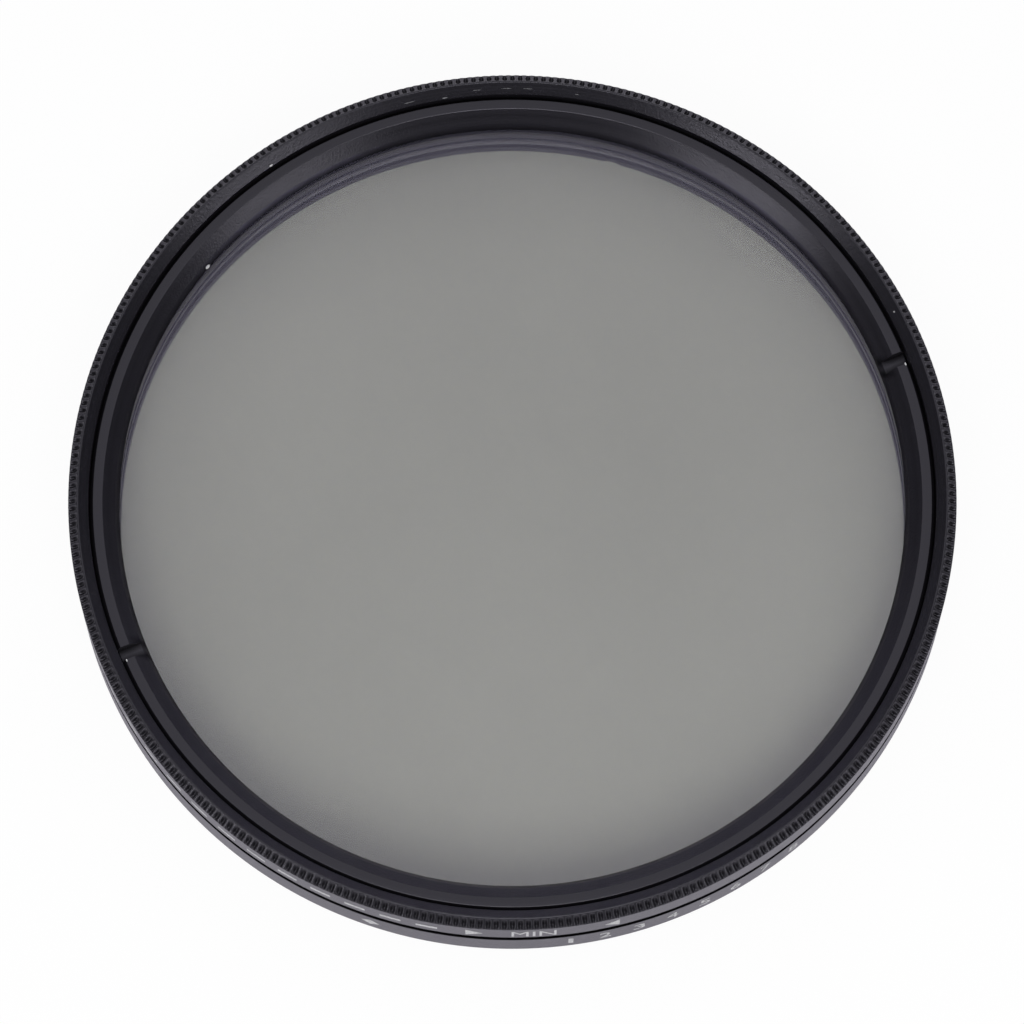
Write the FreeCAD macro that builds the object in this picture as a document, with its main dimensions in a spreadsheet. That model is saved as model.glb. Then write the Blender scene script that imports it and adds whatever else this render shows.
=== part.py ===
import FreeCAD, Part
import os
import re

import Sketcher

# A variable neutral-density filter. A rear ring screws into the lens and holds one polariser, and a
# knurled front ring turns in it and holds the other. A sprung ring in a pair of grooves keeps the two
# rings together.
#
# The origin is on the optical axis, in the plane of the shoulder that seats on the lens. +Z points to
# the front. Lengths are in millimetres and angles in degrees.

# Driving dimensions
SIZES = {
    # Lens thread, nominal major radius
    "thread_radius": 33.5,
    "thread_length": 2.6,
    "thread_wall": 0.8,
    "thread_lead": 0.3,
    # Rear ring
    "rear_wall": 1.6,
    "rear_recess_depth": 2.1,
    "rear_ledge_height": 0.6,
    "rear_ledge_width": 0.45,
    "rear_foot_break": 0.08,
    "rear_edge_break": 0.08,
    "bore_lead": 0.2,
    # Front ring
    "ring_gap": 0.63,
    "front_aperture_inset": 1.6,
    "front_seat_width": 1.8,
    "front_ledge_height": 1.4,
    "front_ledge_relief": 0.3,
    "hub_wall": 0.55,
    "hub_lead": 0.2,
    "band_edge_break": 0.12,
    "retaining_step": 0.57,
    "retaining_recess": 1.2,
    "crest_width": 0.1,
    "mouth_bevel_width": 0.77,
    "mouth_bevel_depth": 0.7,
    # Knurl
    "knurl_bevel_height": 0.7,
    "knurl_pitch": 0.65,
    "knurl_reach": 0.7,
    "knurl_depth": 0.34,
    "knurl_groove_width": 0.4,
    "knurl_run_out": 0.2,
    # Glasses, films and the cement between them
    "front_glass_thickness": 0.9,
    "rear_glass_thickness": 0.9,
    "glass_edge_break": 0.1,
    "polariser_thickness": 0.14,
    "retarder_thickness": 0.1,
    "cement_thickness": 0.03,
    # Retaining rings
    "front_retaining_height": 1.6,
    "front_retaining_flat": 0.78,
    "front_retaining_lip": 0.1,
    "front_edge_width": 0.28,
    "front_edge_height": 0.6,
    "front_notch_width": 1.1,
    "front_notch_depth": 1.0,
    "front_notch_offset": 0.77,
    "front_notch_angle": 21.5,
    "rear_retaining_height": 1.1,
    "rear_retaining_width": 0.45,
    "rear_retaining_recess": 0.47,
    "rear_retaining_break": 0.2,
    "rear_notch_width": 1.1,
    "rear_notch_depth": 0.5,
    "rear_notch_angle": 75.0,
    # Snap ring
    "snap_width": 0.5,
    "snap_height": 0.4,
    "snap_arc_angle": 350.0,
    "snap_gap_angle": 140.0,
    "snap_spring_room": 0.1,
    # Fits
    "running_clearance": 0.05,
    "floor_clearance": 0.3,
    "glass_clearance": 0.1,
    "screw_clearance": 0.05,
    "seat_clearance": 0.1,
    "snap_clearance": 0.04,
}

# Radii, heights and counts that follow from the driving dimensions
LAYOUT = {
    # Radii in the front ring, from the clear opening outwards
    "front_aperture_radius": "thread_radius - front_aperture_inset",
    "front_glass_radius": "front_aperture_radius + front_seat_width",
    "front_ledge_radius": "front_aperture_radius + front_ledge_relief",
    "front_glass_bore": "front_glass_radius + glass_clearance",
    "front_screw_bore": "front_glass_bore + retaining_step",
    "front_retaining_radius": "front_screw_bore - screw_clearance",
    "front_flat_radius": "front_retaining_radius - front_edge_width",
    "front_cone_radius": "front_flat_radius - front_retaining_flat",
    "hub_radius": "front_glass_bore + hub_wall",
    "crest_inner_radius": "front_screw_bore + mouth_bevel_width",
    "crest_outer_radius": "crest_inner_radius + crest_width",
    # Radii in the rear ring
    "rear_bore": "hub_radius + running_clearance",
    "ring_radius": "rear_bore + rear_wall",
    "rear_glass_bore": "thread_radius - thread_wall",
    "rear_glass_radius": "rear_glass_bore - glass_clearance",
    "rear_retaining_radius": "rear_glass_bore - screw_clearance",
    "rear_retaining_bore": "rear_retaining_radius - rear_retaining_width",
    "rear_aperture_radius": "rear_glass_radius - rear_ledge_width",
    # Heights, stacked up from the end of the thread
    "rear_retaining_foot": "rear_retaining_recess - thread_length",
    "rear_stack_foot": "rear_retaining_foot + rear_retaining_height",
    "retarder_foot": "rear_stack_foot + rear_glass_thickness + cement_thickness",
    "rear_polariser_foot": "retarder_foot + retarder_thickness + cement_thickness",
    "rear_inner_glass_foot": "rear_polariser_foot + polariser_thickness + cement_thickness",
    "rear_seat": "rear_inner_glass_foot + rear_glass_thickness",
    "recess_floor": "rear_seat + rear_ledge_height",
    "rear_ring_top": "recess_floor + rear_recess_depth",
    "hub_foot": "recess_floor + floor_clearance",
    "front_seat": "hub_foot + front_ledge_height",
    "front_polariser_foot": "front_seat + front_glass_thickness + cement_thickness",
    "front_outer_glass_foot": "front_polariser_foot + polariser_thickness + cement_thickness",
    "front_stack_top": "front_outer_glass_foot + front_glass_thickness",
    "screw_step": "front_stack_top - seat_clearance",
    "band_foot": "rear_ring_top + ring_gap",
    "crest": "front_stack_top + front_retaining_height + retaining_recess",
    "bevel_foot": "crest - knurl_bevel_height",
    # Knurl grooves
    "knurl_count": "round(2 * pi * ring_radius / knurl_pitch)",
    "knurl_root_radius": "ring_radius - knurl_reach",
    "knurl_outer_radius": "ring_radius + knurl_run_out",
    "bevel_slope": "knurl_bevel_height / (ring_radius - crest_outer_radius)",
    "knurl_edge_floor": "bevel_foot - knurl_depth",
    "knurl_root_floor": "knurl_edge_floor + bevel_slope * knurl_reach",
    "knurl_outer_floor": "knurl_edge_floor - bevel_slope * knurl_run_out",
    "knurl_top": "crest + knurl_run_out",
    # Snap ring, half in each of the two rings, and its grooves
    "snap_foot": "hub_foot + (front_ledge_height - snap_height) / 2",
    "snap_inner_radius": "rear_bore - snap_width / 2",
    "snap_outer_radius": "rear_bore + snap_width / 2",
    "groove_foot": "snap_foot - snap_clearance",
    "groove_top": "snap_foot + snap_height + snap_clearance",
    "rear_groove_radius": "snap_outer_radius + snap_clearance",
    "hub_groove_radius": "rear_bore - snap_width - snap_spring_room",
}

# How a sketch numbers its own origin, and the two ends of a line
ORIGIN = -1
START, END = range(1, 3)
FULL_TURN = 360.0
OPTICAL_AXIS = FreeCAD.Vector(0, 0, 1)

doc = FreeCAD.newDocument("variable_nd_filter")
sheet = doc.addObject("Spreadsheet::Sheet", "Sizes")


def fill_sheet():
    """Give every size a row of the sheet, with its name beside it and as its alias."""
    formulas = {name: f"={formula}" for name, formula in LAYOUT.items()}
    cells = {name: str(value) for name, value in SIZES.items()}
    for row, (name, text) in enumerate({**cells, **formulas}.items(), start=1):
        sheet.set(f"A{row}", name)
        sheet.set(f"B{row}", text)
        sheet.setAlias(f"B{row}", name)
    doc.recompute()


def sized(formula):
    """Turn a formula of size names into one that an object of the document can read from the sheet."""
    return re.sub(r"[a-z_]+", r"Sizes.\g<0>", formula)


def place(item, height="0", turn=None):
    """Set an object at a height on the optical axis, turned about that axis."""
    if turn:
        rotation = FreeCAD.Rotation(OPTICAL_AXIS, sheet.evalExpression(turn))
        item.Placement = FreeCAD.Placement(FreeCAD.Vector(), rotation)
        item.setExpression("Placement.Rotation.Angle", sized(turn))
    item.setExpression("Placement.Base.z", sized(height))


def new_body(label):
    body = doc.addObject("PartDesign::Body", label)
    body.Label = label
    return body


def new_sketch(body, name, role, height="0"):
    """Start a sketch on one of the body's own planes, raised by a height."""
    sketch = body.newObject("Sketcher::SketchObject", f"{body.Name}_{name}")
    plane = next(feature for feature in body.Origin.OriginFeatures if feature.Role == role)
    sketch.AttachmentSupport = [(plane, "")]
    sketch.MapMode = "FlatFace"
    sketch.setExpression("AttachmentOffset.Base.z", sized(height))
    return sketch


def pin_start(sketch, line, corner):
    """Hold the start of a sketch's line at the two sizes that name its place."""
    for kind, formula in zip(("DistanceX", "DistanceY"), corner):
        value = float(sheet.evalExpression(formula))
        index = sketch.addConstraint(Sketcher.Constraint(kind, ORIGIN, START, line, START, value))
        sketch.setExpression(f"Constraints[{index}]", sized(formula))


def outline(sketch, corners):
    """Draw a closed outline through corners that are pairs of formulas."""
    values = [[float(sheet.evalExpression(formula)) for formula in corner] for corner in corners]
    points = [FreeCAD.Vector(x, y, 0) for x, y in values]
    count = len(points)
    for index in range(count):
        sketch.addGeometry(Part.LineSegment(points[index], points[(index + 1) % count]))
    for index in range(count):
        sketch.addConstraint(Sketcher.Constraint("Coincident", index, END, (index + 1) % count, START))
    for index, corner in enumerate(corners):
        pin_start(sketch, index, corner)


def turned(label, corners, arc=None):
    """Turn an outline of radius and height pairs about the axis, right round or through an arc."""
    body = new_body(label)
    sketch = new_sketch(body, "profile", "XZ_Plane")
    outline(sketch, corners)
    feature = body.newObject("PartDesign::Revolution", f"{label}_turned")
    feature.Profile = sketch
    feature.ReferenceAxis = (sketch, ["V_Axis"])
    feature.Angle = FULL_TURN
    if arc:
        feature.setExpression("Angle", sized(arc))
    doc.recompute()
    return body


def pocket(body, sketch, depth, upwards=False, side="One side"):
    """Cut a sketch into the body, to one side of it or both, and make sure that it took material away."""
    before = body.Shape.Volume
    feature = body.newObject("PartDesign::Pocket", f"{sketch.Name}_cut")
    feature.Profile = sketch
    feature.SideType = side
    feature.Reversed = upwards
    feature.setExpression("Length", sized(depth))
    doc.recompute()
    if body.Shape.Volume >= before:
        raise RuntimeError(f"{sketch.Name} cuts nothing")
    return feature


def spanner_notches(body, height, reach, width, depth, upwards, offset="0"):
    """Cut a pair of spanner notches with one slot straight across a ring, at an offset from its middle."""
    sketch = new_sketch(body, "notches", "XY_Plane", height)
    outline(
        sketch,
        [
            (f"-{reach}", f"-{width} / 2 - {offset}"),
            (reach, f"-{width} / 2 - {offset}"),
            (reach, f"{width} / 2 - {offset}"),
            (f"-{reach}", f"{width} / 2 - {offset}"),
        ],
    )
    pocket(body, sketch, depth, upwards)


def make_front_ring():
    """The knurled ring that the hand turns, with a hub that runs in the rear ring."""
    body = turned(
        "front_ring",
        [
            ("front_ledge_radius", "hub_foot"),
            ("hub_radius - hub_lead", "hub_foot"),
            ("hub_radius", "hub_foot + hub_lead"),
            ("hub_radius", "groove_foot"),
            ("hub_groove_radius", "groove_foot"),
            ("hub_groove_radius", "groove_top"),
            ("hub_radius", "groove_top"),
            ("hub_radius", "band_foot"),
            ("ring_radius - band_edge_break", "band_foot"),
            ("ring_radius", "band_foot + band_edge_break"),
            ("ring_radius", "bevel_foot"),
            ("crest_outer_radius", "crest"),
            ("crest_inner_radius", "crest"),
            ("front_screw_bore", "crest - mouth_bevel_depth"),
            ("front_screw_bore", "screw_step"),
            ("front_glass_bore", "screw_step"),
            ("front_glass_bore", "front_seat"),
            ("front_ledge_radius", "front_seat"),
        ],
    )
    knurl(body)
    return body


def knurl(body):
    """Cut grooves into the front bevel, with floors along the bevel, that stop short of the crest."""
    sketch = new_sketch(body, "groove", "XZ_Plane")
    outline(
        sketch,
        [
            ("knurl_root_radius", "knurl_root_floor"),
            ("knurl_outer_radius", "knurl_outer_floor"),
            ("knurl_outer_radius", "knurl_top"),
            ("knurl_root_radius", "knurl_top"),
        ],
    )
    groove = pocket(body, sketch, "knurl_groove_width", side="Symmetric")
    pattern = body.newObject("PartDesign::PolarPattern", "front_ring_knurl")
    pattern.Originals = [groove]
    pattern.Axis = (sketch, ["V_Axis"])
    pattern.Angle = FULL_TURN
    pattern.setExpression("Occurrences", sized("knurl_count"))
    body.Tip = pattern


def make_rear_ring():
    """The ring that screws into the lens, with a recess for the front ring's hub."""
    return turned(
        "rear_ring",
        [
            ("rear_aperture_radius", "rear_seat"),
            ("rear_glass_bore", "rear_seat"),
            ("rear_glass_bore", "-thread_length"),
            ("thread_radius - thread_lead", "-thread_length"),
            ("thread_radius", "thread_lead - thread_length"),
            ("thread_radius", "0"),
            ("ring_radius - rear_foot_break", "0"),
            ("ring_radius", "rear_foot_break"),
            ("ring_radius", "rear_ring_top - rear_edge_break"),
            ("ring_radius - rear_edge_break", "rear_ring_top"),
            ("rear_bore + bore_lead", "rear_ring_top"),
            ("rear_bore", "rear_ring_top - bore_lead"),
            ("rear_bore", "groove_top"),
            ("rear_groove_radius", "groove_top"),
            ("rear_groove_radius", "groove_foot"),
            ("rear_bore", "groove_foot"),
            ("rear_bore", "recess_floor"),
            ("rear_aperture_radius", "recess_floor"),
        ],
    )


def make_snap_ring():
    """The sprung ring, open at one place, that sits half in each ring and keeps them together."""
    body = turned(
        "snap_ring",
        [
            ("snap_inner_radius", "snap_foot"),
            ("snap_outer_radius", "snap_foot"),
            ("snap_outer_radius", "snap_foot + snap_height"),
            ("snap_inner_radius", "snap_foot + snap_height"),
        ],
        "snap_arc_angle",
    )
    place(body, turn="snap_gap_angle")
    return body


def make_front_retaining_ring():
    """The ring that holds the front glass down, with a flat top, a conical inner face and two notches."""
    body = turned(
        "front_retaining_ring",
        [
            ("front_aperture_radius", "0"),
            ("front_retaining_radius", "0"),
            ("front_retaining_radius", "front_retaining_height - front_edge_height"),
            ("front_flat_radius", "front_retaining_height"),
            ("front_cone_radius", "front_retaining_height"),
            ("front_aperture_radius", "front_retaining_lip"),
        ],
    )
    spanner_notches(
        body,
        "front_retaining_height",
        "front_retaining_radius",
        "front_notch_width",
        "front_notch_depth",
        upwards=False,
        offset="front_notch_offset",
    )
    place(body, "front_stack_top", "front_notch_angle")
    return body


def make_rear_retaining_ring():
    """The ring that holds the rear glass up from the thread end, with two notches in its rear face."""
    body = turned(
        "rear_retaining_ring",
        [
            ("rear_retaining_bore + rear_retaining_break", "0"),
            ("rear_retaining_radius", "0"),
            ("rear_retaining_radius", "rear_retaining_height"),
            ("rear_retaining_bore", "rear_retaining_height"),
            ("rear_retaining_bore", "rear_retaining_break"),
        ],
    )
    spanner_notches(
        body,
        "0",
        "rear_retaining_radius",
        "rear_notch_width",
        "rear_notch_depth",
        upwards=True,
    )
    place(body, "rear_retaining_foot", "rear_notch_angle")
    return body


def make_glass(label, radius, thickness, foot):
    """A flat glass disc with ground edges."""
    body = turned(
        label,
        [
            ("0", "0"),
            (f"{radius} - glass_edge_break", "0"),
            (radius, "glass_edge_break"),
            (radius, f"{thickness} - glass_edge_break"),
            (f"{radius} - glass_edge_break", thickness),
            ("0", thickness),
        ],
    )
    place(body, foot)
    return body


def make_film(label, radius, thickness, foot):
    """A thin film disc, cemented between two glasses."""
    film = doc.addObject("Part::Cylinder", label)
    film.Label = label
    film.setExpression("Radius", sized(radius))
    film.setExpression("Height", sized(thickness))
    place(film, foot)
    return film


def make_front_stack():
    """The polariser that turns: a film between two glasses."""
    radius = "front_glass_radius"
    return [
        make_glass("front_inner_glass", radius, "front_glass_thickness", "front_seat"),
        make_film("front_polarising_film", radius, "polariser_thickness", "front_polariser_foot"),
        make_glass("front_outer_glass", radius, "front_glass_thickness", "front_outer_glass_foot"),
    ]


def make_rear_stack():
    """The polariser that stays with the lens, with a quarter-wave film behind it, between two glasses."""
    radius = "rear_glass_radius"
    return [
        make_glass("rear_outer_glass", radius, "rear_glass_thickness", "rear_stack_foot"),
        make_film("rear_quarter_wave_film", radius, "retarder_thickness", "retarder_foot"),
        make_film("rear_polarising_film", radius, "polariser_thickness", "rear_polariser_foot"),
        make_glass("rear_inner_glass", radius, "rear_glass_thickness", "rear_inner_glass_foot"),
    ]


def check(parts):
    """Stop unless every object of the document worked and every piece is one valid solid."""
    failed = [item.Name for item in doc.Objects if {"Invalid", "Error"} & set(item.State)]
    failed += [part.Label for part in parts if part.Shape.isNull() or not part.Shape.isValid()]
    failed += [part.Label for part in parts if len(part.Shape.Solids) != 1]
    if failed:
        raise RuntimeError(f"failed: {failed}")


def main():
    fill_sheet()
    parts = [
        make_rear_ring(),
        make_rear_retaining_ring(),
        *make_rear_stack(),
        make_snap_ring(),
        make_front_ring(),
        make_front_retaining_ring(),
        *make_front_stack(),
    ]
    doc.recompute()
    check(parts)
    os.makedirs("parts", exist_ok=True)
    for part in parts:
        part.Shape.exportStep(os.path.join("parts", f"{part.Label}.step"))
        print(part.Label, round(part.Shape.Volume, 3), part.Shape.BoundBox)


main()
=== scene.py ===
"""A variable neutral-density filter lying on a white floor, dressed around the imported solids."""

import math

import bmesh
import bpy
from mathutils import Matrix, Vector


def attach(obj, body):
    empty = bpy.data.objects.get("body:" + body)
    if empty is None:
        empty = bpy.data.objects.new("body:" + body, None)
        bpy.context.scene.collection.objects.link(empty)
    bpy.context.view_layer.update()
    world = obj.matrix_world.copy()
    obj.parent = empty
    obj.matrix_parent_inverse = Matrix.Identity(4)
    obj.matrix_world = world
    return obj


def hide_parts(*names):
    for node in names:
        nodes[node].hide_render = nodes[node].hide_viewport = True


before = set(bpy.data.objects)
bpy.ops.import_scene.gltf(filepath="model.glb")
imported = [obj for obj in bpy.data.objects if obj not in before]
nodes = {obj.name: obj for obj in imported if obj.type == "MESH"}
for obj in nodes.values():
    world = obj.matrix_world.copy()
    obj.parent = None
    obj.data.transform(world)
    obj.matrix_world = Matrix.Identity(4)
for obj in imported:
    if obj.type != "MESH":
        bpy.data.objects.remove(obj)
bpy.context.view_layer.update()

MM = 0.001
PHOTO_PIXELS = 1024

# Sizes in millimetres: radii from the optical axis, and heights from the shoulder that seats on the lens
RING_RADIUS = 36.0

# The groove of the snap ring, in both rings
SNAP_FOOT = 2.46
SNAP_TOP = 2.94

# The rounding of the turned rings' corners: how far, at most what share of a side, and in how many steps
CORNER = 0.05
CORNER_LIMIT = 0.4
CORNER_STEPS = 3

# Edges as sharp as this stay sharp, and points as close as this, in metres, are one
SHARP_ANGLE = math.radians(42)
SAME_PLACE = 1e-7

# The mesh attribute that says how much painted shade a point gets, in grooves, gaps and corners where the
# coat is painted dull and black as shade, and how near to an edge a point counts as on it
SHADE_MARK = "groove"
NEAR = 0.01


# Meshes


def softened(corners, closed=True):
    """Round the corners of an outline of radius and height pairs with short curves."""
    last = len(corners) - 1
    points = []
    for index, corner in enumerate(corners):
        here = Vector(corner)
        if not closed and index in (0, last):
            points.append(here)
            continue
        before = Vector(corners[index - 1]) - here
        after = Vector(corners[(index + 1) % len(corners)]) - here
        start = here + before.normalized() * min(CORNER, before.length * CORNER_LIMIT)
        end = here + after.normalized() * min(CORNER, after.length * CORNER_LIMIT)
        for step in range(CORNER_STEPS + 1):
            share = step / CORNER_STEPS
            points.append(start.lerp(here, share).lerp(here.lerp(end, share), share))
    return points


def around(angle, radius, height):
    """A point at an angle in degrees about the optical axis, in metres."""
    turn = math.radians(angle)
    return (radius * math.cos(turn) * MM, radius * math.sin(turn) * MM, height * MM)


def even_angles(count):
    """Angles in degrees, right round the axis."""
    return [360 * index / count for index in range(count)]


def skin(columns, closed=True, first=0):
    """Faces between columns of points that stand side by side right round the axis."""
    rows = len(columns[0])
    steps = rows if closed else rows - 1
    faces = []
    for index in range(len(columns)):
        here = first + index * rows
        there = first + (index + 1) % len(columns) * rows
        for row in range(steps):
            above = (row + 1) % rows
            faces.append((here + row, there + row, there + above, here + above))
    return faces


def piece(name, points, faces, material, body, slot=None, stands_for=None):
    """Make a closed mesh, shade it by its corners, and let it ride on a body."""
    mesh = bpy.data.meshes.new(name)
    mesh.from_pydata(points, [], faces)
    work = bmesh.new()
    work.from_mesh(mesh)
    bmesh.ops.remove_doubles(work, verts=work.verts, dist=SAME_PLACE)
    bmesh.ops.dissolve_degenerate(work, edges=work.edges, dist=SAME_PLACE)
    bmesh.ops.recalc_face_normals(work, faces=work.faces)
    work.to_mesh(mesh)
    work.free()
    mesh.shade_smooth()
    mesh.set_sharp_from_angle(angle=SHARP_ANGLE)
    mesh.materials.append(material)
    item = bpy.data.objects.new(name, mesh)
    bpy.context.collection.objects.link(item)
    weighted = item.modifiers.new("even_flats", "WEIGHTED_NORMAL")
    weighted.keep_sharp = True
    weighted.weight = 100
    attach(item, body)
    if stands_for:
        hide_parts(stands_for)
    return item


def turned(name, corners, count, material, body, **more):
    """A ring turned from one outline."""
    outline = softened(corners)
    columns = [[around(angle, *point) for point in outline] for angle in even_angles(count)]
    points = [point for column in columns for point in column]
    return piece(name, points, skin(columns), material, body, **more)


# Materials


def new_material(name):
    """A material whose nodes are still to come."""
    material = bpy.data.materials.new(name)
    material.use_nodes = True
    material.node_tree.nodes.clear()
    return material


def add(tree, kind, values=None, **settings):
    """Add a node, set its options, and set or link its inputs by name."""
    node = tree.nodes.new(kind)
    for key, value in settings.items():
        setattr(node, key, value)
    for key, value in (values or {}).items():
        if isinstance(value, bpy.types.NodeSocket):
            tree.links.new(value, node.inputs[key])
        else:
            node.inputs[key].default_value = value
    return node


def noise(tree, scale, detail, stretch=None):
    """Noise in the object's own place, as a factor from 0 to 1."""
    place = add(tree, "ShaderNodeTexCoord").outputs["Object"]
    if stretch:
        place = add(tree, "ShaderNodeMapping", {"Vector": place, "Scale": stretch}).outputs[0]
    values = {"Vector": place, "Scale": scale, "Detail": detail}
    return add(tree, "ShaderNodeTexNoise", values).outputs["Fac"]


def turning(tree, scale, detail):
    """Fine lines that a lathe leaves round the axis, as a factor from 0 to 1."""
    place = add(tree, "ShaderNodeTexCoord").outputs["Object"]
    parts = add(tree, "ShaderNodeSeparateXYZ", {"Vector": place}).outputs
    flat = add(tree, "ShaderNodeCombineXYZ", {"X": parts["X"], "Y": parts["Y"]}).outputs[0]
    radius = add(tree, "ShaderNodeVectorMath", {0: flat}, operation="LENGTH").outputs["Value"]
    profile = add(tree, "ShaderNodeCombineXYZ", {"X": radius, "Z": parts["Z"]}).outputs[0]
    values = {"Vector": profile, "Scale": scale, "Detail": detail}
    return add(tree, "ShaderNodeTexNoise", values).outputs["Fac"]


def between(tree, factor, low, high, start=0.3, end=0.7):
    """A number that goes from low to high as the factor goes from start to end."""
    values = {"Value": factor, "From Min": start, "From Max": end, "To Min": low, "To Max": high}
    return add(tree, "ShaderNodeMapRange", values).outputs["Result"]


# Where a mix of colours has its factor, its two colours and its result
MIX_FACTOR = 0
MIX_LOW = 6
MIX_HIGH = 7
MIX_RESULT = 2


def blended(tree, factor, low, high):
    """A colour between two others, each a colour or a link, by a factor from 0 to 1."""
    mix = add(tree, "ShaderNodeMix", data_type="RGBA")
    tree.links.new(factor, mix.inputs[MIX_FACTOR])
    for socket, colour in ((mix.inputs[MIX_LOW], low), (mix.inputs[MIX_HIGH], high)):
        if isinstance(colour, bpy.types.NodeSocket):
            tree.links.new(colour, socket)
        else:
            socket.default_value = (*colour, 1)
    return mix.outputs[MIX_RESULT]


def tones(tree, factor, low, high, start=0.3, end=0.7):
    """A colour that goes from low to high as the factor goes from start to end."""
    return blended(tree, between(tree, factor, 0, 1, start, end), low, high)


def surface(material, shader):
    """Give a material its shader."""
    output = add(material.node_tree, "ShaderNodeOutputMaterial")
    material.node_tree.links.new(shader, output.inputs["Surface"])
    return material


# The anodised layer has a slightly violet sheen, a fine grain, and fine lines of turning
SHEEN = (0.9, 0.87, 1.0, 1)
# The colour of the painted shade in grooves, gaps and corners
PAINTED_SHADE_BLACK = (0.002, 0.002, 0.0022)
GRAIN_SCALE = 5000
GRAIN_DETAIL = 2
GRAIN_DEPTH = 0.00005
GRAIN_STRENGTH = 0.4
LINE_SCALE = 5000
LINE_DETAIL = 2
COAT_IOR = 1.5
FULL_GLOSS = 0.5


def metal(name, low, high, smooth, rough, metallic=0.0):
    """Turned and coated metal: a fine grain, faint lines of turning, and painted shade, dull and black,
    where the mesh marks grooves, gaps and corners.
    """
    material = new_material(name)
    tree = material.node_tree
    grain = noise(tree, GRAIN_SCALE, GRAIN_DETAIL)
    lines = turning(tree, LINE_SCALE, LINE_DETAIL)
    height = {"Strength": GRAIN_STRENGTH, "Distance": GRAIN_DEPTH, "Height": grain}
    bump = add(tree, "ShaderNodeBump", height)
    # How much painted shade the mesh marks at this point
    shade_mask = add(tree, "ShaderNodeAttribute", attribute_name=SHADE_MARK).outputs["Fac"]
    values = {
        "Base Color": blended(tree, shade_mask, tones(tree, lines, low, high), PAINTED_SHADE_BLACK),
        "Roughness": between(tree, lines, smooth, rough),
        "Metallic": metallic,
        "IOR": COAT_IOR,
        # Where shade is painted, the coat also loses its gloss
        "Specular IOR Level": between(tree, shade_mask, FULL_GLOSS, 0.0, 0, 1),
        "Specular Tint": SHEEN,
        "Normal": bump.outputs["Normal"],
    }
    return surface(material, add(tree, "ShaderNodeBsdfPrincipled", values).outputs["BSDF"])


def mixed(tree, factor, first, second):
    """The first shader where the factor is 0, and the second where it is 1."""
    return add(tree, "ShaderNodeMixShader", {0: factor, 1: first, 2: second}).outputs[0]


def maths(tree, operation, *values):
    """One step of arithmetic on links or plain numbers."""
    return add(tree, "ShaderNodeMath", dict(enumerate(values)), operation=operation).outputs[0]


# The coating on the glass: its violet, how much it reflects straight on, and how much more at a glance
COATING = (0.76, 0.73, 1.0, 1)
COATING_GLOSS = 0.03
GLANCING_GLOSS = 0.9
GLANCING_POWER = 5.0
GROUND_EDGE = (0.3, 0.29, 0.34, 1)
FLAT_FACE = 0.9

# The glass itself, with faint clouds of tint, and the films, whose lines of drawing run along y
GLASS_LOW = (0.985, 0.985, 0.98)
GLASS_HIGH = (0.99, 0.99, 0.985)
GLASS_CLOUDS = 40
GLASS_IOR = 1.5
FILM_LINES = 60
FILM_STRETCH = (1.0, 0.12, 1.0)

# Paint, and the pale flecks that stand in for glints, are rubbed in fine patches
WEAR_SCALE = 5000
WEAR_DETAIL = 3
PAINT_SMOOTH = 0.45
PAINT_ROUGH = 0.6


def coated_glass():
    """Clear glass that bends what is seen through it, with a violet coating and a ground edge."""
    material = new_material("coated_glass")
    tree = material.node_tree
    path = add(tree, "ShaderNodeLightPath").outputs
    tint = tones(tree, noise(tree, GLASS_CLOUDS, 0), GLASS_LOW, GLASS_HIGH)
    clear = add(tree, "ShaderNodeBsdfTransparent", {"Color": tint}).outputs[0]
    bending = {"Color": tint, "Roughness": 0.0, "IOR": GLASS_IOR}
    bent = add(tree, "ShaderNodeBsdfRefraction", bending).outputs[0]
    seen = maths(tree, "MAXIMUM", path["Is Camera Ray"], path["Is Transmission Ray"])
    body = mixed(tree, seen, clear, bent)
    gloss = add(tree, "ShaderNodeBsdfGlossy", {"Color": COATING, "Roughness": 0.0}).outputs[0]
    facing = add(tree, "ShaderNodeLayerWeight", {"Blend": 0.5}).outputs["Facing"]
    glance = maths(tree, "POWER", facing, GLANCING_POWER)
    strength = maths(tree, "MULTIPLY_ADD", glance, GLANCING_GLOSS, COATING_GLOSS)
    polished = mixed(tree, strength, body, gloss)
    normal = add(tree, "ShaderNodeNewGeometry").outputs["True Normal"]
    upright = add(tree, "ShaderNodeSeparateXYZ", {"Vector": normal}).outputs["Z"]
    edge = maths(tree, "LESS_THAN", maths(tree, "ABSOLUTE", upright), FLAT_FACE)
    ground = add(tree, "ShaderNodeBsdfDiffuse", {"Color": GROUND_EDGE}).outputs[0]
    return surface(material, mixed(tree, edge, polished, ground))


def film(name, low, high):
    """A clear film, darker or lighter along faint lines of its drawing."""
    material = new_material(name)
    tree = material.node_tree
    tint = tones(tree, noise(tree, FILM_LINES, 0, FILM_STRETCH), low, high)
    return surface(material, add(tree, "ShaderNodeBsdfTransparent", {"Color": tint}).outputs[0])


def paint(name, low, high):
    """Matt paint, or pale flecks painted as glints, a little uneven and rubbed."""
    material = new_material(name)
    tree = material.node_tree
    worn = noise(tree, WEAR_SCALE, WEAR_DETAIL)
    values = {
        "Base Color": tones(tree, worn, low, high),
        "Roughness": between(tree, worn, PAINT_SMOOTH, PAINT_ROUGH),
    }
    return surface(material, add(tree, "ShaderNodeBsdfPrincipled", values).outputs["BSDF"])


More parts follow.
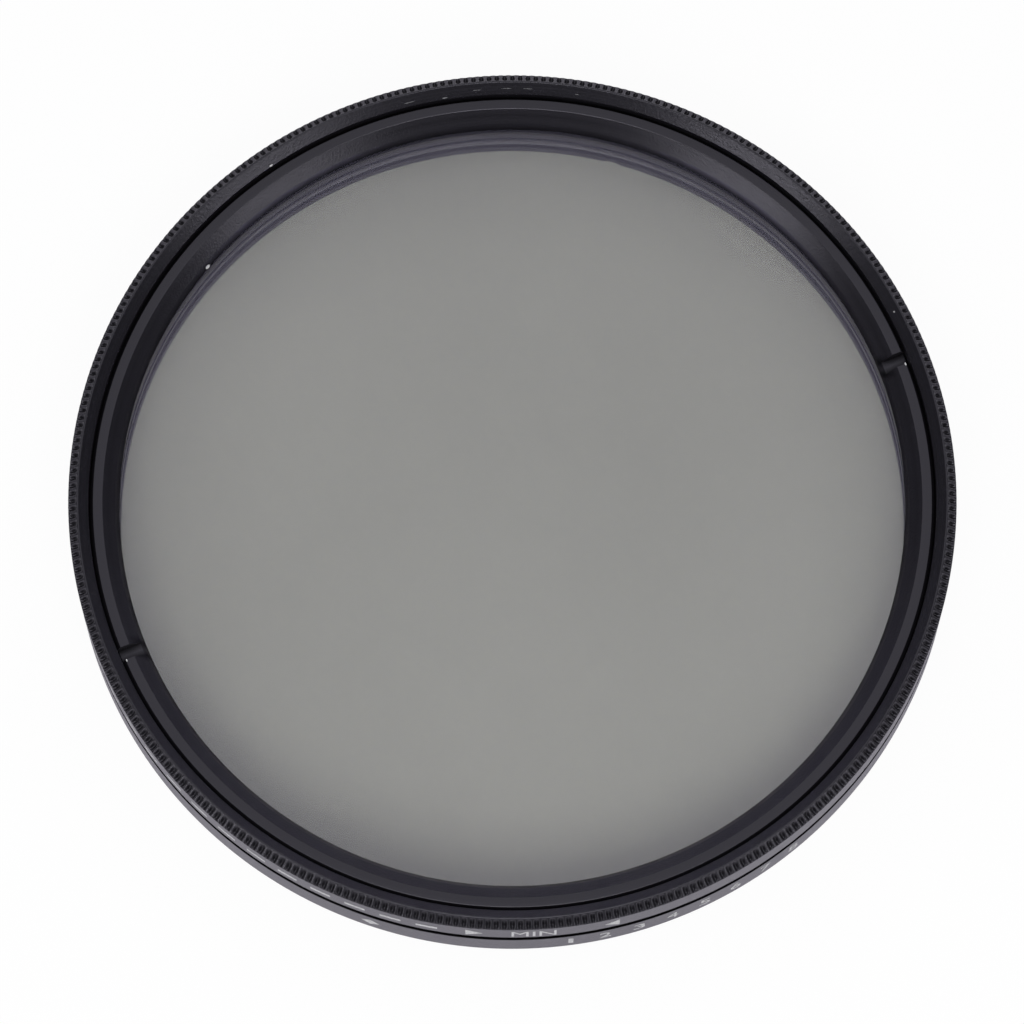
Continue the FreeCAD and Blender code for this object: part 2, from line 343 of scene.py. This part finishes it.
ANODISED_FRONT = metal("anodised_front", (0.006, 0.0057, 0.007), (0.0105, 0.01, 0.0122), 0.27, 0.32)
ANODISED_REAR = metal("anodised_rear", (0.0062, 0.006, 0.0072), (0.011, 0.0105, 0.0127), 0.27, 0.32)
SPRING_STEEL = metal("spring_steel", (0.50, 0.50, 0.51), (0.60, 0.60, 0.61), 0.25, 0.35, 1.0)
COATED_GLASS = coated_glass()
POLARISING_FILM = film("polarising_film", (0.786, 0.787, 0.764), (0.791, 0.792, 0.769))
RETARDER_FILM = film("retarder_film", (0.985, 0.985, 0.985), (0.995, 0.995, 0.995))
WHITE_PAINT = paint("white_paint", (0.36, 0.36, 0.37), (0.6, 0.6, 0.6))
# Grey flecks painted as glints on the mouth
GLINT_GREY = paint("glint_grey", (0.03, 0.03, 0.032), (0.2, 0.2, 0.21))

NODE_MATERIALS = {
    "rear_retaining_ring": ANODISED_REAR,
    "rear_outer_glass": COATED_GLASS,
    "rear_quarter_wave_film": RETARDER_FILM,
    "rear_polarising_film": POLARISING_FILM,
    "rear_inner_glass": COATED_GLASS,
    "snap_ring": SPRING_STEEL,
    "front_inner_glass": COATED_GLASS,
    "front_polarising_film": POLARISING_FILM,
    "front_outer_glass": COATED_GLASS,
}
CLEAR = (COATED_GLASS, POLARISING_FILM, RETARDER_FILM)
for node_name, node_material in NODE_MATERIALS.items():
    node = nodes[node_name]
    node.data.materials.clear()
    node.data.materials.append(node_material)
    # The clear discs dim what is seen through them, and let the room's light past
    if node_material in CLEAR:
        node.visible_shadow = False
        node.visible_diffuse = False


# Front ring, with the knurl

BAND_FOOT = 4.43
BAND_BREAK = 0.12
HUB_RADIUS = 34.35
HUB_FOOT = 2.0
HUB_LEAD = 0.2
HUB_GROOVE = 33.8
FRONT_APERTURE = 32.2
FRONT_SEAT = 3.4
FRONT_GLASS_BORE = 33.8
SCREW_BORE = 34.37
SCREW_STEP = 5.3
CREST = 8.2
CREST_INNER = 35.14
CREST_MIDDLE = 35.19
CREST_OUTER = 35.24

# The bevel at the ring's mouth: its foot, its rise for each millimetre outwards, and its lean in degrees
MOUTH_FOOT = (SCREW_BORE, 7.37)
MOUTH_SLOPE = (CREST - MOUTH_FOOT[1]) / (CREST_INNER - MOUTH_FOOT[0])
MOUTH_LEAN = 90 + math.degrees(math.atan(MOUTH_SLOPE))

# The knurl on the outer bevel: scooped grooves that run out at both of their ends
KNURL_COUNT = 348
KNURL_FOOT = 7.3
KNURL_DEPTH = 0.38
KNURL_RIM = 35.95
KNURL_ROOT = 35.3
# How dark the painted shade is at the bottom of a knurl groove
KNURL_SHADE = 0.25
BEVEL_FOOT = 7.5
BEVEL_SLOPE = (CREST - BEVEL_FOOT) / (RING_RADIUS - CREST_OUTER)

# A narrow face joins the plain outline to the knurl, at the band and at the crest
BAND_JOIN = 0.06
CREST_JOIN = 0.02

# Outline from the band just under the knurl, round the inside, to the crest
FRONT_OUTLINE = [
    (RING_RADIUS, KNURL_FOOT - BAND_JOIN),
    (RING_RADIUS, BAND_FOOT + BAND_BREAK),
    (RING_RADIUS - BAND_BREAK, BAND_FOOT),
    (HUB_RADIUS, BAND_FOOT),
    (HUB_RADIUS, SNAP_TOP),
    (HUB_GROOVE, SNAP_TOP),
    (HUB_GROOVE, SNAP_FOOT),
    (HUB_RADIUS, SNAP_FOOT),
    (HUB_RADIUS, HUB_FOOT + HUB_LEAD),
    (HUB_RADIUS - HUB_LEAD, HUB_FOOT),
    (FRONT_APERTURE, HUB_FOOT),
    (FRONT_APERTURE, FRONT_SEAT),
    (FRONT_GLASS_BORE, FRONT_SEAT),
    (FRONT_GLASS_BORE, SCREW_STEP),
    (SCREW_BORE, SCREW_STEP),
    MOUTH_FOOT,
    (CREST_INNER, CREST),
    (CREST_MIDDLE - CREST_JOIN, CREST),
]

# Across half a groove: the distance from its middle, in millimetres, and the share of its depth there
GROOVE_ACROSS = [
    (0.0, 1.0),
    (0.045, 0.95),
    (0.095, 0.76),
    (0.155, 0.42),
    (0.21, 0.14),
    (0.235, 0.04),
    (0.265, 0.0),
]

# Along a groove, from the rim inwards: the radius, and the share of its depth there
RIM_SHARE = 0.22
GROOVE_ALONG = [
    (RING_RADIUS - 0.015, RIM_SHARE),
    (KNURL_RIM, 0.26),
    (KNURL_RIM - 0.06, 0.42),
    (KNURL_RIM - 0.17, 0.76),
    (KNURL_RIM - 0.27, 0.96),
    (KNURL_RIM - 0.37, 1.0),
    (KNURL_ROOT + 0.17, 0.93),
    (KNURL_ROOT + 0.07, 0.55),
    (KNURL_ROOT + 0.015, 0.1),
    (KNURL_ROOT - 0.01, 0.0),
]

# Small breaks on the edge under the bevel, and on the crest's outer edge
RIM_BREAK = 0.014
CREST_BREAK = 0.012
CREST_DROP = 0.011

PITCH = 2 * math.pi * RING_RADIUS / KNURL_COUNT
FAR_HALF = [(PITCH - at, share) for at, share in GROOVE_ACROSS[:0:-1]]
KNURL_ACROSS = GROOVE_ACROSS + [(PITCH / 2, 0.0)] + FAR_HALF


def bevel_height(radius):
    """The height of the outer bevel, between the grooves."""
    return BEVEL_FOOT + (RING_RADIUS - radius) * BEVEL_SLOPE


def knurl_column(depth):
    """Points up the outside of the knurl and over its bevel, where a groove is so deep."""
    column = [(RING_RADIUS, KNURL_FOOT), (RING_RADIUS, BEVEL_FOOT - RIM_BREAK - depth * RIM_SHARE)]
    column += [(radius, bevel_height(radius) - depth * share) for radius, share in GROOVE_ALONG]
    column += [(CREST_OUTER + CREST_BREAK, CREST - CREST_DROP), (CREST_OUTER - CREST_BREAK, CREST)]
    return column + [(CREST_MIDDLE, CREST)]


def mark_points(item, painted_shade_at):
    """Mark each point of a piece with how much painted shade, dull and black, it gets there, from its place
    in millimetres.
    """
    places = [vertex.co / MM for vertex in item.data.vertices]
    marks = item.data.attributes.new(SHADE_MARK, "FLOAT", "POINT")
    marks.data.foreach_set("value", [float(painted_shade_at(place)) for place in places])


def knurl_dullness(place):
    """Painted shade, darker the deeper a point lies in a groove of the knurl."""
    radius = math.hypot(place.x, place.y)
    drop = bevel_height(radius) - place.z
    if KNURL_ROOT - NEAR < radius < RING_RADIUS - NEAR / 2 and 0 < drop < KNURL_DEPTH + NEAR:
        return KNURL_SHADE * drop / KNURL_DEPTH
    return 0


def make_front_ring():
    """The plain outline turned, and the knurl wound round it, with narrow faces to join them."""
    outline = softened(FRONT_OUTLINE, closed=False)
    plain = [[around(angle, *point) for point in outline] for angle in even_angles(KNURL_COUNT)]
    cut = []
    for groove in range(KNURL_COUNT):
        for at, share in KNURL_ACROSS:
            angle = 360 * (groove + at / PITCH) / KNURL_COUNT
            cut.append([around(angle, *point) for point in knurl_column(share * KNURL_DEPTH)])
    points = [point for column in plain + cut for point in column]
    rows, cut_rows, first = len(outline), len(cut[0]), len(plain) * len(outline)
    faces = skin(plain, closed=False) + skin(cut, closed=False, first=first)
    across = len(KNURL_ACROSS)
    for index in range(len(plain)):
        after = (index + 1) % len(plain)
        edge = [first + (index * across + step) % len(cut) * cut_rows for step in range(across + 1)]
        faces.append([index * rows, after * rows] + edge[::-1])
        top = [corner + cut_rows - 1 for corner in edge]
        faces.append([after * rows + rows - 1, index * rows + rows - 1] + top)
    ring = piece(
        "front_ring_dressed",
        points,
        faces,
        ANODISED_FRONT,
        "front",
        slot="anodised_front",
        stands_for="front_ring",
    )
    mark_points(ring, knurl_dullness)


make_front_ring()


# Rear ring, and the thread that screws into the lens

THREAD_RADIUS = 33.5
THREAD_ROOT = 33.04
THREAD_END = -2.6
THREAD_PITCH = 0.75
THREAD_EDGE = 33.2
THREAD_LEAD = 0.2
THREAD_LEAD_TOP = 0.35
REAR_APERTURE = 32.15
REAR_GLASS_BORE = 32.7
REAR_SEAT = 1.1
RECESS_FLOOR = 1.7
REAR_BORE = 34.4
REAR_GROOVE = 34.69
BORE_LEAD = 0.2
FOOT_BREAK = 0.08
REAR_EDGE = 3.53
REAR_BREAK = 0.28
REAR_TOP = 3.8
REAR_STEPS = 720

REAR_OUTLINE = [
    (REAR_APERTURE, REAR_SEAT),
    (REAR_GLASS_BORE, REAR_SEAT),
    (REAR_GLASS_BORE, THREAD_END),
    (THREAD_EDGE, THREAD_END),
    (THREAD_ROOT + THREAD_LEAD, THREAD_END + THREAD_LEAD),
    (THREAD_ROOT, THREAD_END + THREAD_LEAD_TOP),
    (THREAD_ROOT, 0.0),
    (RING_RADIUS - FOOT_BREAK, 0.0),
    (RING_RADIUS, FOOT_BREAK),
    (RING_RADIUS, REAR_EDGE),
    (RING_RADIUS - REAR_BREAK, REAR_TOP),
    (REAR_BORE + BORE_LEAD, REAR_TOP),
    (REAR_BORE, REAR_TOP - BORE_LEAD),
    (REAR_BORE, SNAP_TOP),
    (REAR_GROOVE, SNAP_TOP),
    (REAR_GROOVE, SNAP_FOOT),
    (REAR_BORE, SNAP_FOOT),
    (REAR_BORE, RECESS_FLOOR),
    (REAR_APERTURE, RECESS_FLOOR),
]
rear_ring = turned(
    "rear_ring_dressed",
    REAR_OUTLINE,
    REAR_STEPS,
    ANODISED_REAR,
    "rear",
    slot="anodised_rear",
    stands_for="rear_ring",
)


def gap_dullness(place):
    """Painted shade on the upper edge and the top, in the gap between the rings."""
    return place.z > REAR_EDGE and math.hypot(place.x, place.y) < RING_RADIUS - NEAR


mark_points(rear_ring, gap_dullness)


def make_thread():
    """The screw thread: one ridge that winds up the rear end and fades out at both ends."""
    turns = 2.6
    steps_per_turn = 120
    foot = THREAD_END + 0.37
    fade = 40.0
    least = 0.02
    root = THREAD_ROOT - 0.1
    half_root, half_crest = 0.34, 0.05
    steps = round(turns * steps_per_turn)
    columns = []
    for step in range(steps + 1):
        angle = 360 * turns * step / steps
        middle = foot + THREAD_PITCH * angle / 360
        full = min(1.0, angle / fade, (360 * turns - angle) / fade)
        crest = root + (THREAD_RADIUS - root) * max(full, least)
        section = [(root, -half_root), (crest, -half_crest), (crest, half_crest), (root, half_root)]
        columns.append([around(angle, radius, middle + rise) for radius, rise in section])
    points = [point for column in columns for point in column]
    rows = len(columns[0])
    faces = skin(columns)[: steps * rows]
    faces += [tuple(range(rows)), tuple(range(steps * rows, (steps + 1) * rows))]
    piece("lens_thread_ridge", points, faces, ANODISED_REAR, "rear", slot="anodised_rear")


make_thread()


# Front retaining ring, with its two spanner notches

RETAINING_RADIUS = 34.32
RETAINING_FOOT = 5.4
RETAINING_EDGE = 6.4
RETAINING_TOP = 7.0
FLAT_OUTER = 34.04
FLAT_INNER = 33.26

# The cone inside the ring ends in a steeper lip, with painted shade at its foot
LIP_FOOT = (31.95, RETAINING_FOOT)
LIP_TOP = (32.3, 5.941)
LIP_SHADE = 0.7

# The notches: their turn about the axis, how far their walls stand aside of it, their floor and its ends
NOTCH_TURN = 21.5
NOTCH_EDGES = (-1.32, -0.22)
NOTCH_FLOOR = 6.0
NOTCH_BREAK = 0.05
NOTCH_INNER = 32.353
# Painted shade in a notch's corners, and the height where it starts
NOTCH_SHADE = 0.8
NOTCH_SHADE_FOOT = 5.6

RETAINING_OUTLINE = [
    LIP_FOOT,
    (RETAINING_RADIUS, RETAINING_FOOT),
    (RETAINING_RADIUS, RETAINING_EDGE),
    (FLAT_OUTER, RETAINING_TOP),
    (FLAT_INNER, RETAINING_TOP),
    LIP_TOP,
]
NOTCH_OUTLINE = [
    LIP_FOOT,
    (RETAINING_RADIUS, RETAINING_FOOT),
    (RETAINING_RADIUS, NOTCH_FLOOR - NOTCH_BREAK),
    (RETAINING_RADIUS - NOTCH_BREAK, NOTCH_FLOOR),
    (NOTCH_INNER, NOTCH_FLOOR),
    LIP_TOP,
]

# The plain columns after each notch: the notch's side, where they start and how far they reach, in degrees
RETAINING_RUNS = ((1, 0.0, 180), (-1, 182.5, 175))


def notch_columns(turn, side):
    """Columns across one notch, whose walls are parallel: its two edges, and its floor between them."""
    full, cut = softened(RETAINING_OUTLINE), softened(NOTCH_OUTLINE)
    low, high = NOTCH_EDGES
    middle = (low + high) / 2
    columns = []
    for outline, offset in ((full, low), (cut, low), (cut, middle), (cut, high), (full, high)):
        column = []
        for radius, height in outline:
            aside = math.degrees(math.asin(offset / radius))
            column.append(around(turn + aside if side > 0 else turn + 180 - aside, radius, height))
        columns.append(column)
    return columns if side > 0 else columns[::-1]


def retaining_dullness(place):
    """Painted shade at the foot of the lip, and in the corners of a notch between its floor and its walls.
    """
    if math.hypot(place.x, place.y) < LIP_FOOT[0] + CORNER:
        return LIP_SHADE
    turn = math.radians(NOTCH_TURN)
    across = place.y * math.cos(turn) - place.x * math.sin(turn)
    beside_wall = min(abs(across - edge) for edge in NOTCH_EDGES) < 2 * NEAR
    in_corner = NOTCH_SHADE_FOOT < place.z < NOTCH_FLOOR + NEAR
    return NOTCH_SHADE if beside_wall and in_corner else 0


def make_retaining_ring():
    """Columns right round the axis, with a notch at either side."""
    outline = softened(RETAINING_OUTLINE)
    columns = []
    for side, start, reach in RETAINING_RUNS:
        columns += notch_columns(NOTCH_TURN, side)
        count = reach - 1
        for step in range(1, count):
            angle = NOTCH_TURN + start + reach * step / count
            columns.append([around(angle, *point) for point in outline])
    points = [point for column in columns for point in column]
    ring = piece(
        "front_retaining_ring_dressed",
        points,
        skin(columns),
        ANODISED_FRONT,
        "front",
        slot="anodised_front",
        stands_for="front_retaining_ring",
    )
    mark_points(ring, retaining_dullness)


make_retaining_ring()


# Marks in white paint, and pale flecks painted as glints

PAINT_LIFT = 0.015
PAINT_DEPTH = 0.035

# Figures are cut into so many steps, and are never narrower than this
STRIP_STEPS = 8
LEAST_HALF = 0.004


def painted(name, figure, azimuth, seat, body, material):
    """Wrap a flat figure, in millimetres, round a ring as a thin coat.

    The seat is the radius and height of its middle, and how far the surface leans from upright, in degrees.
    """
    flat_points, flat_faces = figure
    radius, height, lean = seat
    rise, slope = math.cos(math.radians(lean)), math.sin(math.radians(lean))
    count = len(flat_points)
    points = []
    for lift in (PAINT_LIFT, PAINT_LIFT - PAINT_DEPTH):
        for x, y in flat_points:
            angle = azimuth + math.degrees(x / radius)
            outwards = lift * rise - y * slope
            upwards = lift * slope + y * rise
            points.append(around(angle, radius + outwards, height + upwards))
    # Only the figure's own border gets a side wall, so the edges between its faces cancel out
    sides = {}
    for face in flat_faces:
        for here, there in zip(face, face[1:] + face[:1]):
            if (there, here) in sides:
                del sides[(there, here)]
            else:
                sides[(here, there)] = True
    faces = list(flat_faces) + [tuple(corner + count for corner in face[::-1]) for face in flat_faces]
    faces += [(there, here, here + count, there + count) for here, there in sides]
    piece(name, points, faces, material, body)


def strip(length, half_width):
    """A flat figure along x: its half width is given at each share of its length."""
    points, faces = [], []
    for step in range(STRIP_STEPS + 1):
        share = step / STRIP_STEPS
        half = max(half_width(share), LEAST_HALF)
        x = (share - 0.5) * length
        points += [(x, -half), (x, half)]
    for step in range(STRIP_STEPS):
        low = 2 * step
        faces.append((low, low + 2, low + 3, low + 1))
    return points, faces


def letters(text, height, width):
    """The flat figure of a word in plain letters, of a given size and about its own middle."""
    curve = bpy.data.curves.new("word", "FONT")
    curve.body = text
    curve.resolution_u = 4
    item = bpy.data.objects.new("word", curve)
    mesh = item.to_mesh()
    points = [(vertex.co.x, vertex.co.y) for vertex in mesh.vertices]
    faces = [tuple(face.vertices) for face in mesh.polygons]
    item.to_mesh_clear()
    bpy.data.objects.remove(item)
    bpy.data.curves.remove(curve)
    columns = []
    for values, size in zip(zip(*points), (width, height)):
        low, high = min(values), max(values)
        columns.append([(value - (low + high) / 2) * size / (high - low) for value in values])
    return list(zip(*columns)), faces


# The scale on the front ring. A word has its azimuth and width, and an arrow its azimuth, its length,
# and whether its point comes last.
BAND_SEAT = (RING_RADIUS, 5.87, 0)
MARK_HEIGHT = 1.7
WORDS = [("mark_min", "MIN", 272.75, 3.6), ("mark_max", "MAX", 183.0, 4.2)]
ARROWS = [("arrow_1", 265.1, 1.35, True), ("arrow_2", 282.8, 1.2, False), ("arrow_3", 191.0, 1.35, False)]
DASH_COUNT = 14
DASH_FIRST = 259.0
DASH_TURN = 4.75
DASH_LENGTH = 1.75
DASH_HALF = 0.27

# The index mark and the dial on the rear ring
DIAL_SEAT = (RING_RADIUS, 1.9, 0)
INDEX_AZIMUTH = 251.5
INDEX_SIZE = 1.5
DIAL_NUMBERS = 8
DIAL_START = 273.0
DIAL_TURN = 4.5
DIAL_HEIGHT = 1.6
DIAL_WIDTH = 0.95
DIAL_WIDTH_OF_ONE = 0.4


def growing(share):
    """Half the width of an arrow whose point comes first."""
    return MARK_HEIGHT / 2 * share


def shrinking(share):
    """Half the width of an arrow whose point comes last."""
    return MARK_HEIGHT / 2 * (1 - share)


def make_marks():
    """The scale on the front ring, from its lightest to its darkest setting, and the rear ring's marks."""
    for name, word, azimuth, width in WORDS:
        figure = letters(word, MARK_HEIGHT, width)
        painted(name, figure, azimuth, BAND_SEAT, "front", WHITE_PAINT)
    for name, azimuth, length, points_on in ARROWS:
        figure = strip(length, shrinking if points_on else growing)
        painted(name, figure, azimuth, BAND_SEAT, "front", WHITE_PAINT)
    dash = strip(DASH_LENGTH, lambda share: DASH_HALF)
    for number in range(DASH_COUNT):
        azimuth = DASH_FIRST - DASH_TURN * number
        painted(f"dash_{number + 1}", dash, azimuth, BAND_SEAT, "front", WHITE_PAINT)
    diamond = strip(INDEX_SIZE, lambda share: INDEX_SIZE * (0.5 - abs(share - 0.5)))
    painted("index_mark", diamond, INDEX_AZIMUTH, DIAL_SEAT, "rear", WHITE_PAINT)
    for number in range(1, DIAL_NUMBERS + 1):
        width = DIAL_WIDTH if number > 1 else DIAL_WIDTH_OF_ONE
        figure = letters(str(number), DIAL_HEIGHT, width)
        azimuth = DIAL_START + DIAL_TURN * number
        painted(f"dial_{number}", figure, azimuth, DIAL_SEAT, "rear", WHITE_PAINT)


def on_mouth(radius):
    """The seat on the mouth's bevel at a radius."""
    return (radius, MOUTH_FOOT[1] + (radius - MOUTH_FOOT[0]) * MOUTH_SLOPE, MOUTH_LEAN)


# Painted glints: grey dashes on the mouth, and white specks on it and on the retaining ring: azimuth, seat,
# length and width
GLINT_DASHES = [
    (104.2, on_mouth(34.62), 0.9, 0.06),
    (99.3, on_mouth(34.47), 0.5, 0.12),
    (94.8, on_mouth(34.72), 0.7, 0.05),
    (90.8, on_mouth(34.74), 0.9, 0.05),
    (87.9, on_mouth(34.74), 0.8, 0.04),
    (81.2, on_mouth(34.66), 0.3, 0.06),
]
GLINT_SPECKS = [
    (26.3, on_mouth(34.78), 0.14, 0.13),
    (125.2, on_mouth(34.44), 0.34, 0.16),
    (141.4, (32.05, 5.555, 147), 0.45, 0.3),
    (19.25, (33.98, RETAINING_TOP, 90), 0.26, 0.12),
    (203.9, (33.96, RETAINING_TOP, 90), 0.22, 0.1),
]


def make_specks():
    """Painted glints, as thin lens-shaped pale flecks."""
    for group, places, material in (("glint_dash", GLINT_DASHES, GLINT_GREY), ("glint_speck", GLINT_SPECKS, WHITE_PAINT)):
        for number, (azimuth, seat, length, width) in enumerate(places, 1):
            figure = strip(length, lambda share: width * math.sqrt(max(share - share * share, 0)))
            painted(f"{group}_{number}", figure, azimuth, seat, "front", material)


make_specks()
make_marks()


# Stage, light and camera

# How much of the floor's white is its own, and not lamp light: to the eye, and in gloss and through glass.
# In gloss that share is violet, as the sheen on the dark metal is.
WHITE = (1, 1, 1)
FLOOR_GLOW = 0.95
FLOOR_GLOW_BEHIND = 0.08
FLOOR_VIOLET = (0.5, 0.2, 1.0)
FLOOR_LOW = (0.81, 0.81, 0.81)
FLOOR_HIGH = (0.83, 0.83, 0.83)
FLOOR_CLOUDS = 8
FLOOR_DETAIL = 2
FLOOR_HALF = 1.5

# The studio: its low walls at the near and the far side, and its ceiling, by the direction looked in
NEAR_WALL = (0.05, 0.05, 0.055)
FAR_WALL = (0.68, 0.68, 0.71)
FAR_WALL_STARTS, FAR_WALL_FULL = 0.3, 0.98
CEILING = (0.86, 0.86, 0.89)
CEILING_STARTS, CEILING_FULL = 0.46, 0.7

# Soft boxes: azimuth and elevation in degrees, distance, width and height in metres, and watts
LAMPS = {
    "key": (268, 57, 0.42, 0.24, 0.22, 0.85),
    "left_box": (225, 9, 0.9, 0.46, 0.1, 1.2),
    "right_box": (315, 9, 0.9, 0.46, 0.1, 0.95),
}


def make_floor():
    """A white floor that looks white to the eye, and still takes the shadow."""
    material = new_material("white_floor")
    tree = material.node_tree
    path = add(tree, "ShaderNodeLightPath").outputs
    pale = tones(tree, noise(tree, FLOOR_CLOUDS, FLOOR_DETAIL), FLOOR_LOW, FLOOR_HIGH)
    matt = add(tree, "ShaderNodeBsdfDiffuse", {"Color": pale}).outputs[0]
    plain = maths(tree, "MAXIMUM", path["Is Camera Ray"], path["Is Transmission Ray"])
    hue = blended(tree, plain, FLOOR_VIOLET, WHITE)
    glow = add(tree, "ShaderNodeEmission", {"Color": hue, "Strength": 1.0}).outputs[0]
    direct = maths(tree, "MULTIPLY", path["Is Camera Ray"], FLOOR_GLOW)
    behind = maths(tree, "MAXIMUM", path["Is Glossy Ray"], path["Is Transmission Ray"])
    share = maths(tree, "MAXIMUM", direct, maths(tree, "MULTIPLY", behind, FLOOR_GLOW_BEHIND))
    surface(material, mixed(tree, share, matt, glow))
    half = FLOOR_HALF
    mesh = bpy.data.meshes.new("floor")
    corners = [(-half, -half), (half, -half), (half, half), (-half, half)]
    mesh.from_pydata([(x, y, THREAD_END * MM) for x, y in corners], [], [(0, 1, 2, 3)])
    mesh.materials.append(material)
    floor = bpy.data.objects.new("floor", mesh)
    bpy.context.collection.objects.link(floor)


def make_lamp(name, azimuth, elevation, distance, width, height, watts):
    """A soft box that faces the part from an azimuth and elevation in degrees."""
    lamp = bpy.data.lights.new(name, "AREA")
    lamp.shape = "RECTANGLE"
    lamp.size = width
    lamp.size_y = height
    lamp.energy = watts
    item = bpy.data.objects.new(name, lamp)
    flat = math.cos(math.radians(elevation))
    way = Vector(
        (
            flat * math.cos(math.radians(azimuth)),
            flat * math.sin(math.radians(azimuth)),
            math.sin(math.radians(elevation)),
        )
    )
    item.location = way * distance
    item.rotation_euler = way.to_track_quat("Z", "Y").to_euler()
    bpy.context.collection.objects.link(item)


def make_world():
    """A plain studio: pale overhead, dim low down but for a paler far wall, and white to the eye."""
    world = bpy.data.worlds.new("studio")
    world.use_nodes = True
    tree = world.node_tree
    tree.nodes.clear()
    place = add(tree, "ShaderNodeTexCoord").outputs["Generated"]
    way = add(tree, "ShaderNodeSeparateXYZ", {"Vector": place}).outputs
    walls = tones(tree, way["Y"], NEAR_WALL, FAR_WALL, FAR_WALL_STARTS, FAR_WALL_FULL)
    overhead = between(tree, way["Z"], 0, 1, CEILING_STARTS, CEILING_FULL)
    path = add(tree, "ShaderNodeLightPath").outputs
    seen = maths(tree, "MAXIMUM", path["Is Camera Ray"], path["Is Transmission Ray"])
    shade = blended(tree, seen, blended(tree, overhead, walls, CEILING), WHITE)
    back = add(tree, "ShaderNodeBackground", {"Color": shade, "Strength": 1.0}).outputs[0]
    tree.links.new(back, add(tree, "ShaderNodeOutputWorld").inputs["Surface"])
    bpy.context.scene.world = world


def make_camera():
    """The photograph's view: from the front of the part, nearly straight down."""
    tilt = math.radians(15.69)
    distance = 500 * MM
    focal_pixels = 6178.0
    rise_pixels = 20.1
    aside_pixels = 0.4
    camera = bpy.data.cameras.new("camera")
    camera.sensor_width = 36.0
    camera.lens = camera.sensor_width * focal_pixels / PHOTO_PIXELS
    camera.clip_start = 0.01
    item = bpy.data.objects.new("camera", camera)
    back = Vector((0, -math.sin(tilt), math.cos(tilt)))
    up = Vector((0, math.cos(tilt), math.sin(tilt)))
    aim = Vector((-aside_pixels, 0, 0)) - up * rise_pixels
    item.location = Vector((0, 0, CREST * MM)) + back * distance + aim * (distance / focal_pixels)
    item.rotation_euler = (tilt, 0, 0)
    bpy.context.collection.objects.link(item)
    bpy.context.scene.camera = item


make_floor()
make_world()
for lamp_name, lamp_values in LAMPS.items():
    make_lamp(lamp_name, *lamp_values)
make_camera()

scene = bpy.context.scene
scene.view_settings.view_transform = "Standard"

# Light passes many clear faces on its way through the glasses and films
scene.cycles.max_bounces = 14
scene.cycles.diffuse_bounces = 3
scene.cycles.glossy_bounces = 4
scene.cycles.transmission_bounces = 12
scene.cycles.transparent_max_bounces = 24
